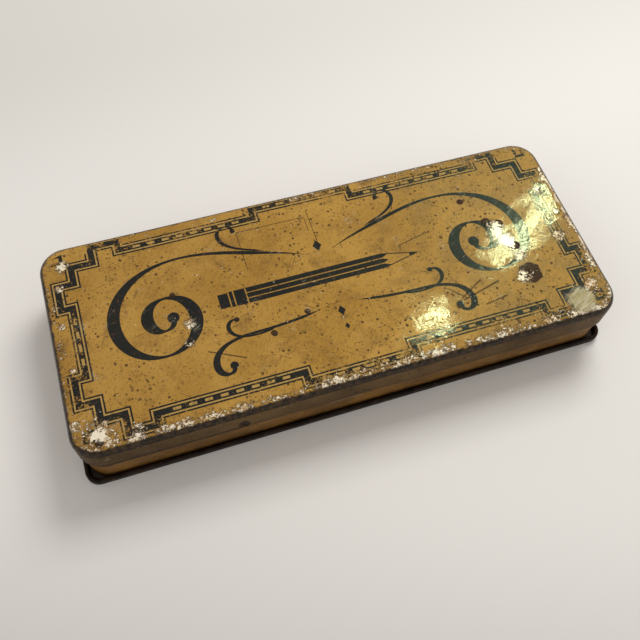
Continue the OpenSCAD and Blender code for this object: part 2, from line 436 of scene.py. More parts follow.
def lane_quads(path, near, far, dashes=None):
    """Quads of one stripe of the band. dashes is None, or True for dashes and False for gaps."""
    quads = []
    for i in range(len(path)):
        j = (i + 1) % len(path)
        a0, b0 = offset_corner(path, i, near), offset_corner(path, j, near)
        a1, b1 = offset_corner(path, i, far), offset_corner(path, j, far)
        start, end = Vector(path[i]), Vector(path[j])
        length = (end - start).length
        along = (end - start) / length
        cuts = set(spaced(CORE * 2, length - CORE * 2, 1.4)) if length > CORE * 5 else set()
        count = int((length - 4 * CORE) / DASH_PITCH)
        marks = [length / 2 + (k - (count - 1) / 2) * DASH_PITCH for k in range(count)]
        for mark in marks:
            cuts |= {mark - DASH_LENGTH / 2, mark + DASH_LENGTH / 2}
        stops = [None] + sorted(cuts) + [None]
        for u, v in zip(stops, stops[1:]):
            middle = ((u or 0.0) + (length if v is None else v)) / 2
            on_dash = any(abs(middle - mark) < DASH_LENGTH / 2 for mark in marks)
            if dashes is None or on_dash == dashes:
                quads.append([slide(start, along, distance, corner)
                              for distance, corner in ((u, a0), (v, b0), (v, b1), (u, a1))])
    return quads


def slide(start, along, distance, edge_point):
    """Point at a distance along the segment, on the line through edge_point parallel to it.

    With no distance it is edge_point itself, the mitred end.
    """
    if distance is None:
        return edge_point
    across = (edge_point - start) - along * (edge_point - start).dot(along)
    return start + along * distance + across


def on_lid(quads):
    kept = []
    for quad in quads:
        moved = [Vector((p[0], p[1] + PRINT_SHIFT)) for p in quad]
        if all(corner_inset(p.x, p.y, *LID) > EDGE_CLEAR for p in moved):
            kept.append(moved)
    return kept


def print_layer(name, quads, material, lift=PRINT_LIFT):
    """A closed skin of ink laid over the lid's panel."""
    bm = bmesh.new()
    for quad in quads:
        corners = [bm.verts.new((p[0], p[1], 0)) for p in quad]
        bm.faces.new(corners)
    bmesh.ops.remove_doubles(bm, verts=bm.verts, dist=1e-3)
    flat = [f for f in bm.faces if f.calc_area() < 1e-5]
    bmesh.ops.delete(bm, geom=flat, context="FACES")
    bmesh.ops.recalc_face_normals(bm, faces=bm.faces)
    for face in bm.faces:
        if face.normal.z < 0:
            face.normal_flip()
    skin = bmesh.ops.extrude_face_region(bm, geom=bm.faces[:])["geom"]
    raised = {item for item in skin if isinstance(item, bmesh.types.BMVert)}
    for vert in bm.verts:
        ink = lift if vert in raised else lift - PRINT_DEPTH
        vert.co.z = lid_surface(vert.co.x, vert.co.y) + ink
    bmesh.ops.recalc_face_normals(bm, faces=bm.faces)
    piece = mesh_object(name, bm, [material])
    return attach(piece, "lid")


def swash(start, heading, length, bends, steps):
    """Curve whose curvature (1/mm) runs straight between the given (share of length, curvature)."""
    x, y = start
    turn = math.radians(heading)
    step = length / steps
    points = []
    for i in range(steps + 1):
        u = i / steps
        points.append((x, y, turn, u))
        for (u0, k0), (u1, k1) in zip(bends, bends[1:]):
            if u0 <= u <= u1:
                turn += (k0 + (k1 - k0) * (u - u0) / (u1 - u0)) * step
                break
        x += math.cos(turn) * step
        y += math.sin(turn) * step
    return points


def swash_quads(points, thin, thick, mirror):
    """Pen stroke along a curve, broad where it runs up or down, with a tapered start."""
    sides = []
    for x, y, turn, u in points:
        taper = max(0.10, min(1.0, u / 0.12, (1 - u) / 0.06 + 0.3))
        half = (thin + (thick - thin) * abs(math.sin(turn)) ** 1.4) * taper / 2
        nx, ny = -math.sin(turn) * half, math.cos(turn) * half
        sides.append(((mirror * (x + nx), y + ny), (mirror * (x - nx), y - ny)))
    return [(a[0], b[0], b[1], a[1]) for a, b in zip(sides, sides[1:])]


def disc_quads(x, y, radius, steps=24):
    rim = arc(x, y, radius, 0, 360, steps)
    return [((x, y), rim[i], rim[i + 1]) for i in range(steps)]


def tile_quads(x0, y0, x1, y1, step=2.0):
    xs = spaced(x0, x1, step)
    return [((a, y0), (b, y0), (b, y1), (a, y1)) for a, b in zip(xs, xs[1:])]


# Scrolls of the lid's ornament: start, heading, length, curvature stops, thin, thick, ball radius
SCROLLS = {
    "great_scroll": ((5, 13), 24, 176,
                     [(0, -0.012), (0.12, 0), (0.25, -0.018), (0.45, -0.05), (0.75, -0.082),
                      (0.92, -0.15), (1, -0.30)], 0.9, 4.6, 2.2),
    "low_scroll": ((7, -11), -12, 56,
                   [(0, 0.012), (0.4, 0.004), (0.6, -0.045), (0.82, -0.17), (1, -0.50)],
                   1.0, 2.6, 1.5),
    "high_curl": ((20, 19.3), 22, 30, [(0, -0.02), (0.4, 0.05), (1, 0.42)], 0.6, 1.6, 1.0),
    "low_curl": ((24, -13.2), -14, 25, [(0, 0.02), (0.45, 0.05), (1, 0.45)], 0.7, 1.6, 1.0),
}

# The pencil mark: half its width, the ends of its parts, and its diamonds as (y, half height)
PENCIL_Y = 2.2
PENCIL_HALF = 3.3
FACE_GAP = 0.4  # gold lines between its three faces
WOOD_START, WOOD_END = -31, 22
FACE_TIP = 2.2  # how far each face runs to a point
BAND_ENDS = ((-35.6, -31.5), (-37.4, -36.1))
RUBBER_ENDS = (-41.6, -37.9)
RUBBER_INSET = 0.3
POINT_X = 36.5
LEAD_LENGTH = 4
LEAD_HALF = 0.98
POINT_LINE = 0.42  # thickness of the lines of the sharpened point
DIAMONDS = ((15.8, 2.5), (-13.6, 2.1), (-20.2, 1.3))


def make_scrolls(material):
    lift = PRINT_LIFT
    for name, (start, heading, length, bends, thin, thick, ball) in SCROLLS.items():
        points = swash(start, heading, length, bends, max(60, int(length)))
        end_x, end_y = points[-1][:2]
        for side, mirror in (("left", -1), ("right", 1)):
            parts = ((f"print_{name}_{side}", swash_quads(points, thin, thick, mirror)),
                     (f"print_{name}_ball_{side}", disc_quads(mirror * end_x, end_y, ball)))
            for part, quads in parts:
                lift += LIFT_STEP
                print_layer(part, quads, material, lift)


def pencil_quads(y, half):
    """Faces, metal band and rubber of a plain pencil seen from the side."""
    third = (2 * half - 2 * FACE_GAP) / 3
    quads = []
    for k in range(3):
        low = y - half + k * (third + FACE_GAP)
        quads += tile_quads(WOOD_START, low, WOOD_END, low + third)
        quads.append(((WOOD_END, low), (WOOD_END + FACE_TIP, low + third / 2),
                      (WOOD_END, low + third)))
    for start, end in BAND_ENDS:
        quads += tile_quads(start, y - half, end, y + half)
    start, end = RUBBER_ENDS
    return quads + tile_quads(start, y - half + RUBBER_INSET, end, y + half - RUBBER_INSET)


def point_quads(y, half):
    """Lead of the pencil and the two lines of its sharpened point."""
    lead_x = POINT_X - LEAD_LENGTH
    quads = [((lead_x, y - LEAD_HALF), (POINT_X, y), (lead_x, y + LEAD_HALF))]
    for sign in (-1, 1):
        a = Vector((WOOD_END, y + sign * half))
        b = Vector((lead_x - 0.2, y + sign * LEAD_HALF))
        inset = Vector((0, -sign * POINT_LINE))
        quads.append((a, b, b + inset, a + inset))
    return quads


def diamond_quad(y, half):
    wide = half * 0.7
    return (0, y + half), (-wide, y), (0, y - half), (wide, y)


def make_pencil_mark(material):
    """Plain side view of a pencil in the middle of the ornament, and three diamonds."""
    print_layer("print_pencil_mark", pencil_quads(PENCIL_Y, PENCIL_HALF), material)
    print_layer("print_pencil_point", point_quads(PENCIL_Y, PENCIL_HALF), material,
                PRINT_LIFT + LIFT_STEP)
    print_layer("print_diamonds", [diamond_quad(y, half) for y, half in DIAMONDS], material)


def make_border(dark, pale):
    path = border_path()
    black = []
    for side in (-1, 1):
        black += lane_quads(path, side * (BAND - LINE), side * BAND)
        black += lane_quads(path, side * DASH_HALF, side * CORE)
    black += lane_quads(path, -DASH_HALF, DASH_HALF, dashes=False)
    gold = lane_quads(path, -DASH_HALF, DASH_HALF, dashes=True)
    for side in (-1, 1):
        gold += lane_quads(path, side * CORE, side * (BAND - LINE))
    for x in (-TILE_X, TILE_X):
        for y in (-TILE_Y, TILE_Y):
            black += lane_quads(corner_tile(x, y), -TILE_LINE, TILE_LINE)
    print_layer("print_border_dark", on_lid(black), dark)
    print_layer("print_border_pale", on_lid(gold), pale, PALE_LIFT)


# ---------- materials ----------

class Graph:
    """Short names for the shader nodes of one material."""

    def __init__(self, name):
        self.material = bpy.data.materials.new(name)
        self.material.use_nodes = True
        self.tree = self.material.node_tree
        self.shader = self.tree.nodes["Principled BSDF"]
        place = self.tree.nodes.new("ShaderNodeTexCoord").outputs["Object"]
        self.place = self.vector("SCALE", place, scale=1 / MM)
        self.x, self.y, self.z = self.node("SeparateXYZ", Vector=self.place).outputs

    def put(self, socket, value):
        if isinstance(value, bpy.types.NodeSocket):
            self.tree.links.new(value, socket)
        elif socket.type == "RGBA":
            socket.default_value = (*value, 1.0)
        else:
            socket.default_value = value

    def node(self, kind, **values):
        """New shader node with some of its inputs set, named with _ for a space."""
        node = self.tree.nodes.new("ShaderNode" + kind)
        for name, value in values.items():
            self.put(node.inputs[name.replace("_", " ")], value)
        return node

    def math(self, op, a, b=0.0):
        node = self.tree.nodes.new("ShaderNodeMath")
        node.operation = op
        self.put(node.inputs[0], a)
        self.put(node.inputs[1], b)
        return node.outputs[0]

    def add(self, a, b):
        return self.math("ADD", a, b)

    def sub(self, a, b):
        return self.math("SUBTRACT", a, b)

    def mul(self, a, b):
        return self.math("MULTIPLY", a, b)

    def swing(self, value, size):
        """A value from 0 to 1 turned into one from -size / 2 to size / 2."""
        return self.mul(self.sub(value, 0.5), size)

    def magnitude(self, value):
        """The value without its sign."""
        return self.math("ABSOLUTE", value)

    def most(self, *values):
        result = values[0]
        for value in values[1:]:
            result = self.math("MAXIMUM", result, value)
        return result

    def vector(self, op, a, b=(0, 0, 0), scale=1.0):
        node = self.tree.nodes.new("ShaderNodeVectorMath")
        node.operation = op
        self.put(node.inputs[0], a)
        self.put(node.inputs[1], b)
        if op == "SCALE":
            node.inputs["Scale"].default_value = scale
        return node.outputs["Value" if op == "DISTANCE" else "Vector"]

    def turned(self, angle, stretch=(1, 1, 1), shift=(0, 0, 0)):
        """Place turned about Z by an angle in degrees, then stretched."""
        node = self.node("Mapping", Vector=self.place, Location=shift, Scale=stretch,
                         Rotation=(0, 0, math.radians(angle)))
        node.vector_type = "TEXTURE"
        return node.outputs[0]

    def noise(self, reach, detail=3.0, rough=0.55, place=None, twist=0.0):
        """Noise from about 0 to 1 whose blotches are about reach millimetres across."""
        place = self.place if place is None else place
        return self.node("TexNoise", Vector=place, Scale=1 / reach, Detail=detail,
                         Roughness=rough, Distortion=twist).outputs["Fac"]

    def cells(self, reach):
        """Distance to the nearest of scattered points, and a random number for each point."""
        found = self.node("TexVoronoi", Vector=self.place, Scale=1 / reach).outputs
        lots = self.node("SeparateColor", Color=found["Color"]).outputs
        return self.mul(found["Distance"], reach), lots[0]

    def step(self, value, low, high, to_low=0.0, to_high=1.0):
        """Smooth step of a value between low and high."""
        if low > high:
            low, high, to_low, to_high = high, low, to_high, to_low
        node = self.node("MapRange", Value=value, From_Min=low, From_Max=high, To_Min=to_low,
                         To_Max=to_high)
        node.interpolation_type = "SMOOTHSTEP"
        return node.outputs[0]

    def mix(self, share, a, b, kind="RGBA", first=6, out=2):
        """Colour between a and b. first and out number the mix node's sockets of that kind."""
        node = self.tree.nodes.new("ShaderNodeMix")
        node.data_type = kind
        for i, value in ((0, share), (first, a), (first + 1, b)):
            self.put(node.inputs[i], value)
        return node.outputs[out]

    def blend(self, share, a, b):
        """Number between a and b."""
        return self.mix(share, a, b, "FLOAT", 2, 0)

    def lay(self, colour, *layers):
        """The colour with others laid over it in turn, each as (where, share, colour)."""
        for where, share, tone in layers:
            colour = self.mix(self.mul(where, share), colour, tone)
        return colour

    def bump(self, *layers):
        """Bumps from (height 0 to 1, depth in millimetres), coarse to fine."""
        normal = None
        for height, depth in layers:
            node = self.node("Bump", Strength=1.0, Distance=depth * MM, Height=height)
            if normal is not None:
                self.put(node.inputs["Normal"], normal)
            normal = node.outputs[0]
        self.put(self.shader.inputs["Normal"], normal)
        self.put(self.shader.inputs["Coat Normal"], normal)

    def finish(self, colour, metallic, roughness, **constants):
        self.put(self.shader.inputs["Base Color"], colour)
        self.put(self.shader.inputs["Metallic"], metallic)
        self.put(self.shader.inputs["Roughness"], roughness)
        for name, value in constants.items():
            self.shader.inputs[name.replace("_", " ")].default_value = value
        return self.material


def srgb(*display):
    """Linear colour of an 8-bit display colour."""
    shares = [c / 255 for c in display]
    return tuple(c / 12.92 if c <= 0.04045 else ((c + 0.055) / 1.055) ** 2.4 for c in shares)


GOLD_LIGHT = srgb(194, 149, 68)
GOLD_MID = srgb(174, 130, 51)
GOLD_DARK = srgb(118, 83, 31)
PALE_GOLD = srgb(188, 152, 84)
# Darker copy of the gold print for the lid's skirt: painted shade of the lid's sides.
SKIRT_LIGHT = srgb(110, 84, 45)
SKIRT_MID = srgb(81, 60, 29)
SKIRT_DARK = srgb(50, 35, 16)
INK = srgb(11, 16, 14)
INK_WORN = srgb(24, 26, 20)
# Painted reflection: greenish tints of the lamp glow over the lid's right half.
LAMP_TINTED_GOLD = srgb(158, 130, 74)
LAMP_TINTED_INK = srgb(38, 58, 50)
TIN = srgb(252, 240, 214)
TIN_SHADE = srgb(190, 152, 100)
TIN_GREY = srgb(170, 160, 134)
SILVER_DARK = srgb(172, 158, 122)
SILVER_LIGHT = srgb(216, 208, 184)
SPECK_BROWN = srgb(84, 52, 24)
OXIDE = srgb(74, 53, 26)
OXIDE_DARK = srgb(27, 18, 9)
RUST = srgb(62, 37, 16)
RUST_DARK = srgb(31, 18, 9)

# Damage on the lid's panel: x, y, radius in mm from the lid's middle
BARE_PATCHES = [
    (69.0, 4.0, 7.0), (70.5, -1.5, 8.0), (73.5, -10.0, 5.0), (71.0, -18.8, 6.5), (92, -6, 5.0),
    (94, 16, 4.0), (96, 5, 3.0), (94, -30, 6.0), (-91.5, -35.0, 10.0), (-80, -39, 7.0),
    (-54, -3, 3.6), (-55.5, -11, 3.2), (-93, 33, 4.6), (-95.5, 24, 3.0), (-97, 8, 2.6),
    (-96, -10, 2.6),
]
# Middles of bare patches, where the bare tin is brightest: bare metal with a painted highlight.
BRIGHT_CORES = [(69.3, 2.5, 6.0), (71.5, -3.0, 6.5), (-92.5, -35.0, 5.5), (70.0, -19.5, 4.2)]
SILVER_PATCHES = [(87.3, -35.5, 8.5)]
RUST_SPOTS = [
    (73.8, -18.6, 9.0), (66.8, 7.5, 4.4), (71.5, 5.5, 4.0), (73.5, -5.5, 4.0), (61, 19.5, 2.6),
    (-57, 10, 2.2), (-12, -10.5, 2.4), (-26, -15.5, 2.6), (-92, -38, 3.0),
]

# Single deep scratches on the panel: both ends, then width, in mm
DEEP_SCRATCHES = [
    (-28, 30, -1, 30, 0.22), (-28, 30, -28, 13, 0.2), (-1, 30, -1, 23, 0.2),
    (45, -22.5, 60.5, -18.5, 0.46), (44.5, -21.5, 54, -16.2, 0.38), (52, -26.5, 61, -25.2, 0.38),
    (-50, -16, -38, -22, 0.36), (10, -2, 18, 3.5, 0.32), (46, -21.8, 41, -16.5, 0.34),
    (30, 7, 44, 10, 0.26), (0.7, 33, 0.7, 14, 0.2),
]


def distance(g, dx, dy):
    return g.math("SQRT", g.add(g.mul(dx, dx), g.mul(dy, dy)))


def outline_inset(g, length, width, radius):
    """Millimetres inwards from a rounded rectangle's outline."""
    qx = g.sub(g.magnitude(g.x), length / 2 - radius)
    qy = g.sub(g.magnitude(g.y), width / 2 - radius)
    px, py = g.most(qx, 0.0), g.most(qy, 0.0)
    flat = g.math("MINIMUM", g.most(qx, qy), 0.0)
    return g.sub(g.sub(radius, distance(g, px, py)), flat)


def rim_distance(g):
    """Millimetres inwards over the rolled edge: 0 on its shoulder, negative down the skirt."""
    return g.sub(outline_inset(g, *LID), g.sub(TOP, g.z))


def nearness(g, spots):
    """1 at the middle of each spot, falling to 0 at its radius."""
    return g.most(*[g.step(g.vector("DISTANCE", g.place, (x, y, TOP)), radius, 0.0)
                    for x, y, radius in spots])


def deep_scratches(g, ragged):
    """Lines cut through the lacquer along the listed segments."""
    lines = []
    for x0, y0, x1, y1, width in DEEP_SCRATCHES:
        length = math.hypot(x1 - x0, y1 - y0)
        ux, uy = (x1 - x0) / length, (y1 - y0) / length
        dx, dy = g.sub(g.x, (x0 + x1) / 2), g.sub(g.y, (y0 + y1) / 2)
        along = g.magnitude(g.add(g.mul(dx, ux), g.mul(dy, uy)))
        across = g.magnitude(g.sub(g.mul(dy, ux), g.mul(dx, uy)))
        past = g.most(g.sub(along, length / 2), 0.0)
        away = g.add(g.add(across, past), ragged)
        lines.append(g.step(away, width, width * 0.5))
    return g.mul(g.most(*lines), g.step(g.z, TOP - 1.0, TOP - 0.8))


def scratches(g, angle, length, gap, amount, seed):
    """Fine straight scratches in one direction."""
    place = g.turned(angle, (length, gap, gap), (seed, seed * 0.7, 0))
    lines = g.noise(1.0, 1.0, 0.5, place)
    where = g.noise(22, 1.0, 0.5, g.turned(angle + 20, shift=(seed * 3, seed, 0)))
    return g.mul(g.step(lines, 0.715, 0.75), g.step(where, 0.62 - amount, 0.70 - amount))


def specks(g, reach, smallest, biggest, share, grain):
    """Scattered ragged dots, one in each of a share of the cells of size reach."""
    away, lot = g.cells(reach)
    size = g.step(lot, 1 - share, 1.0, 0.0, biggest)
    size = g.sub(size, g.mul(g.step(lot, 1 - share + 0.01, 1 - share), biggest * 4))
    ragged = g.swing(grain, 1.1)
    return g.step(g.sub(g.add(away, ragged), g.add(size, smallest)), 0.10, -0.04)


def print_ground(g, light, mid, dark, dull):
    """Brushed lacquer or ink with clouds and smudges, and towards the box's right end a painted
    reflection of the greenish lamp glow, in the colour dull.
    """
    colour = g.mix(g.step(g.noise(30, 2.0), 0.34, 0.64), mid, light)
    brushed = g.noise(1.0, 3.0, 0.6, g.turned(50, (5, 0.45, 1)))
    # Painted reflection of the lamp glow over the right half, in blotches.
    lamp_tint = g.mul(g.step(g.x, 5, 65), g.step(g.cloud, 0.30, 0.62, 0.25, 0.6))
    smudge = g.noise(6.5, 4.0, 0.65, twist=0.8)
    return g.lay(colour, (g.step(g.cloud, 0.46, 0.70), 0.42, dark),
                 (g.step(g.grain, 0.48, 0.74), 0.36, dark),
                 (g.step(g.fine, 0.58, 0.72), 0.25, light),
                 (g.step(brushed, 0.46, 0.72), 0.45, light), (lamp_tint, 1.0, dull),
                 (g.step(smudge, 0.60, 0.70), 0.34, RUST_DARK))


def pits_and_specks(g):
    """Dark pits, specks and flecks where the lacquer has gone, in crowds."""
    crowd = g.noise(17, 2.0, place=g.turned(30, shift=(7, 3, 0)))
    crowd = g.add(crowd, g.step(g.x, 10, 60, 0.0, 0.12))
    pits = specks(g, 1.9, 0.08, 0.46, 0.85, g.grain)
    dust = specks(g, 0.9, 0.04, 0.22, 0.80, g.grain)
    dots = g.mul(g.most(pits, g.mul(dust, 0.8)), g.step(crowd, 0.36, 0.56, 0.35, 1.0))
    flecks = g.step(g.noise(1.5, 5.0, 0.75, g.turned(15, (1.7, 0.8, 1), (3, 9, 0))), 0.615, 0.67)
    return g.most(dots, g.mul(flecks, g.step(crowd, 0.46, 0.62, 0.1, 0.9)))


def dark_scratches(g):
    return g.most(
        scratches(g, 12, 9, 0.34, 0.14, 3.0), scratches(g, 58, 8, 0.34, 0.10, 11.0),
        scratches(g, -38, 7, 0.34, 0.12, 23.0), deep_scratches(g, g.swing(g.grain, 0.5)))


def light_scratches(g):
    return g.most(
        scratches(g, 24, 8, 0.22, 0.08, 31.0), scratches(g, -63, 6, 0.22, 0.05, 41.0),
        scratches(g, 88, 8, 0.20, 0.05, 53.0))


def edge_wear(g):
    """How worn the print is near the lid's edge, most of all along the front."""
    front = g.step(g.y, -LID_W / 2 + 10, -LID_W / 2 + 3)
    right = g.step(g.x, LID_L / 2 - 14, LID_L / 2 - 5)
    left = g.step(g.x, -LID_L / 2 + 14, -LID_L / 2 + 5)
    back = g.mul(g.step(g.y, LID_W / 2 - 9, LID_W / 2 - 4), g.step(g.x, -20, 30))
    gain = g.most(g.mul(front, 0.135), g.mul(right, 0.08), g.mul(left, 0.08), g.mul(back, 0.07),
                  0.045)
    near_rim = g.mul(g.step(g.rim, 7.0, 2.0), g.step(g.rim, 0.1, 1.0))
    return g.mul(near_rim, g.add(gain, g.swing(g.clumps, 0.42)))


def peel_and_glare_strip(g):
    """Ragged strip of bare tin just inside the lid's right end: peeled lacquer, and a painted
    highlight of the lamp's glare on the rolled edge.
    """
    away = g.magnitude(g.sub(g.rim, g.add(2.0, g.swing(g.clumps, 7.0))))
    strip = g.mul(g.step(away, 0.9, 0.4), g.step(g.x, LID_L / 2 - 9, LID_L / 2 - 7))
    return g.mul(strip, g.step(g.magnitude(g.sub(g.y, 3.0)), 27, 22))


def flaked_print(g):
    """Bare tin where the print has flaked off, and the dark halo round it."""
    lace = g.noise(0.75, 3.0, 0.65, g.turned(4, (1.2, 1, 1)))
    flakes = g.add(g.mul(lace, 0.55), g.mul(g.noise(2.8, 5.0, 0.65), 0.45))
    worn = g.most(edge_wear(g), g.mul(nearness(g, BARE_PATCHES), 0.21), g.mul(g.core, 0.265),
                  g.mul(peel_and_glare_strip(g), 0.21))
    flaking = g.add(flakes, worn)
    halo = g.mul(g.step(flaking, 0.55, 0.62), g.step(worn, 0.02, 0.08))
    return g.step(flaking, 0.645, 0.665), halo


def silvered(g):
    """Patches rubbed down to scraped grey tin."""
    polished = g.add(g.mul(nearness(g, SILVER_PATCHES), 0.62), g.swing(g.scrape, 0.5))
    return g.step(g.add(polished, g.swing(g.clumps, 0.8)), 0.12, 0.40)


def rust_on_bare(g):
    spots = g.step(g.noise(1.7, 5.0, 0.7, g.turned(0, shift=(9, 4, 0))), 0.55, 0.60)
    return g.mul(g.mul(g.bare, spots), g.step(g.core, 0.45, 0.15))


def chipped(g, ink):
    """Small chips, and for an ink also the scuffing that grows towards the lid's edge."""
    chip_noise = g.noise(0.8, 5.0, 0.7, g.turned(0, shift=(5, 8, 0)))
    if ink:
        scuffed = g.mul(g.step(g.rim, 16.0, 3.0), g.step(g.clumps, 0.36, 0.62, 0.04, 0.22))
        chip_noise = g.add(chip_noise, scuffed)
    return g.step(chip_noise, 0.655, 0.70)


def dark_edge_and_lip_shade(g):
    """Dark sheet along the rolled edge; a dark band along the skirt's lip, partly its raw edge and
    partly painted shade of the gap under the lip; and painted shade in the dent.
    """
    ragged = g.swing(g.noise(2.4, 5.0, 0.65), 3.0)
    edge = g.mul(g.step(g.add(g.rim, ragged), 1.7, 0.7),
                 g.step(g.add(g.rim, g.mul(ragged, 0.25)), -3.3, -2.1))
    # Painted shade: the lip's dark band stands for the shadow gap under the lip as well as the raw
    # edge, strongest left of the dent.
    lip = g.step(g.add(g.z, g.mul(ragged, 0.18)), LIP + 1.6, LIP + 0.9)
    lip = g.mul(lip, g.step(g.x, DENT_X - 1, DENT_X + 2, 0.95, 0.35))
    # Painted shade: a dark round spot in the dent.
    away = distance(g, g.mul(g.sub(g.x, DENT_X), 1.5), g.sub(g.z, DENT_Z))
    dent = g.step(g.add(away, g.mul(ragged, 0.3)), 3.6, 2.8)
    dent = g.mul(dent, g.step(g.y, -LID_W / 2 + 3, -LID_W / 2 + 2))
    return edge, g.most(lip, dent)


class LidPrint(Graph):
    """Shader of the lid's print, with the wear, the painted shade at the lip and in the dent, and the
    painted highlights on bare tin that its ground and its inks share.
    """

    def __init__(self, name):
        super().__init__(name)
        self.rim = rim_distance(self)
        self.cloud = self.noise(8, 4.0, 0.62)
        self.grain = self.noise(1.0, 4.0, 0.65)
        self.fine = self.noise(0.35, 2.0, 0.6)
        self.clumps = self.noise(7.5, 3.0, 0.6, self.turned(0, shift=(2, 5, 1)))
        self.scrape = self.noise(1.0, 3.0, 0.6, self.turned(28, (6, 0.32, 1), (4, 1, 0)))
        self.core = nearness(self, BRIGHT_CORES)
        self.dots = pits_and_specks(self)
        self.dark_lines = dark_scratches(self)
        self.light_lines = light_scratches(self)
        self.bare, self.halo = flaked_print(self)
        self.silver = silvered(self)
        rusting = self.mul(self.noise(2.6, 5.0, 0.68), 0.6)
        self.rust = self.step(self.add(rusting, nearness(self, RUST_SPOTS)), 0.80, 0.84)
        self.under_rust = rust_on_bare(self)
        self.edge, self.lip = dark_edge_and_lip_shade(self)
        # rubbed joins the worn dark edge with the painted shade at the lip and in the dent.
        self.rubbed = self.most(self.edge, self.lip)
        self.ruined = self.most(self.mul(self.rust, self.sub(1.0, self.bare)), self.under_rust)


def worn_colour(g, colour, chips):
    """The print's colour with its wear laid over it, layer by layer, with painted shade at the lip
    and in the dent and painted highlights on bare tin.
    """
    # Bare tin goes between a darker and a bright tone by noise and is brightest at the bright cores:
    # partly its own tone, partly painted glints and highlight.
    shine = g.add(g.mul(g.noise(0.7, 4.0, 0.7), 0.5), g.mul(g.noise(5.0, 2.0), 0.5))
    tin = g.mix(g.most(g.step(shine, 0.40, 0.54), g.step(g.core, 0.2, 0.5)), TIN_SHADE, TIN)
    oxide = g.mix(g.step(g.noise(1.5, 4.0, 0.65), 0.40, 0.66), OXIDE_DARK, OXIDE)
    rust_tone = g.mix(g.step(g.fine, 0.4, 0.6), RUST_DARK, RUST)
    speck_tone = g.mix(g.step(g.cloud, 0.40, 0.60), RUST_DARK, SPECK_BROWN)
    silver_tone = g.mix(g.step(g.scrape, 0.40, 0.62), SILVER_DARK, SILVER_LIGHT)
    # The last layer lays oxide on the worn edge and painted shade at the lip and in the dent.
    return g.lay(colour, (g.dots, 0.80, speck_tone), (g.dark_lines, 0.75, RUST_DARK),
                 (g.light_lines, 0.3, PALE_GOLD), (chips, 0.8, GOLD_MID), (g.halo, 0.7, OXIDE),
                 (g.rust, 0.95, rust_tone), (g.bare, 1.0, tin), (g.under_rust, 0.85, rust_tone),
                 (g.silver, 0.8, silver_tone), (g.rubbed, 1.0, oxide))


def worn_metal(g, metal):
    for mask, value in ((g.bare, 0.15), (g.silver, 0.6), (g.rubbed, 0.0), (g.ruined, 0.05)):
        metal = g.blend(mask, metal, value)
    return metal


def worn_roughness(g, rough):
    rough = g.add(rough, g.swing(g.cloud, 0.16))
    layers = (
        (g.mul(g.dots, 0.6), 0.7), (g.bare, g.step(g.grain, 0.3, 0.7, 0.22, 0.42)),
        (g.silver, 0.46), (g.edge, 0.42), (g.ruined, 0.82),
    )
    for mask, value in layers:
        rough = g.blend(mask, rough, value)
    return rough


def litho(name, light, mid, dark, metallic, rough, coat=0.6, dull=None, ink=False):
    """Printed tinplate of the lid. dull is the colour of the painted reflection of the lamp glow over
    the right end, if there is one.
    """
    g = LidPrint(name)
    ground = print_ground(g, light, mid, dark, dull or mid)
    damage = g.most(g.dots, g.mul(g.bare, 0.7), g.dark_lines, g.mul(g.light_lines, 0.6))
    g.bump((g.noise(14, 2.0), 0.16), (g.noise(5.0, 3.0), 0.035), (g.sub(1.0, damage), 0.03),
           (g.mul(g.most(g.ruined, 0.04), g.grain), 0.34))
    return g.finish(worn_colour(g, ground, chipped(g, ink)), worn_metal(g, metallic),
                    worn_roughness(g, rough), Specular_IOR_Level=0.1, Coat_Weight=coat,
                    Coat_Roughness=0.06)


